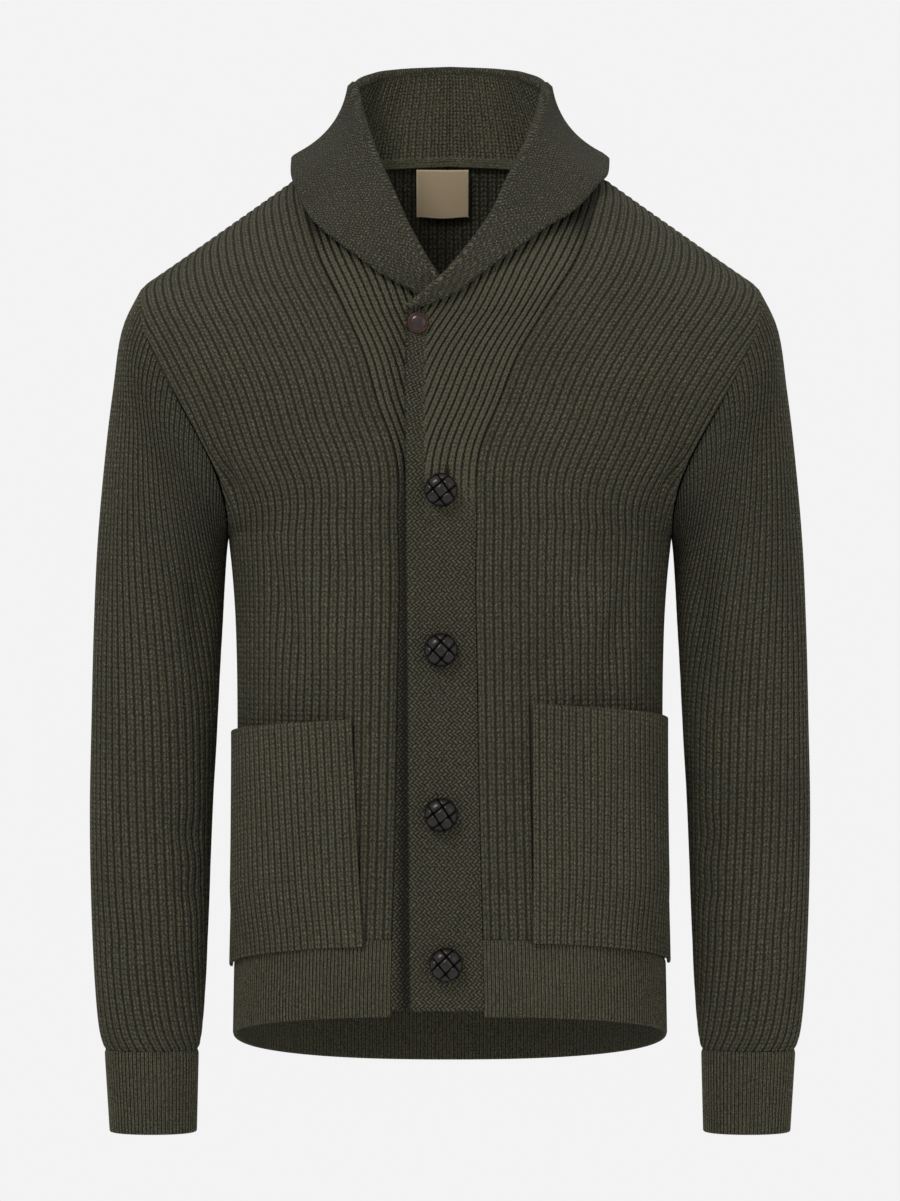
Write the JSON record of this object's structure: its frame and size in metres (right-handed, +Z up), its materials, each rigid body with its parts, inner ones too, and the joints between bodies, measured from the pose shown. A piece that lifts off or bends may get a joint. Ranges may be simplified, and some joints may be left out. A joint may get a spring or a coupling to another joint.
{
  "type": "shawl collar cardigan",
  "caption": "Chunky rib-knit shawl collar cardigan, filled out as worn: button front, long sleeves with ribbed cuffs, patch pockets, hollow with open neck, hem and cuffs.",
  "frame": {"origin": "midway between the points where the collar meets the two shoulder seams, where the neck passes through; 0.0 is 10 mm above the neck points of the shoulders", "axes": "+Z up, the front faces -Y, +X is the wearer's left"},
  "size_m": [0.554, 0.2598, 0.8275],
  "materials": {
    "knit": "matte, marled olive brown wool",
    "leather": "polished, very dark brown",
    "snap_metal": "dark antique, brushed",
    "label": "matte, tan woven"
  },
  "bodies": {
    "root": {"back": "knit", "front_left": "knit", "front_right": "knit", "sleeve_left": "knit", "sleeve_right": "knit", "hem_back": "knit", "hem_left": "knit", "hem_right": "knit", "cuff_left": "knit", "cuff_right": "knit", "band_left": "knit", "band_right": "knit", "collar": "knit", "pocket_left": "knit", "pocket_right": "knit", "button_1": "leather", "button_2": "leather", "button_3": "leather", "button_4": "leather", "snap": "snap_metal", "neck_tape": "knit", "neck_label": "label"}
  },
  "joints": []
}
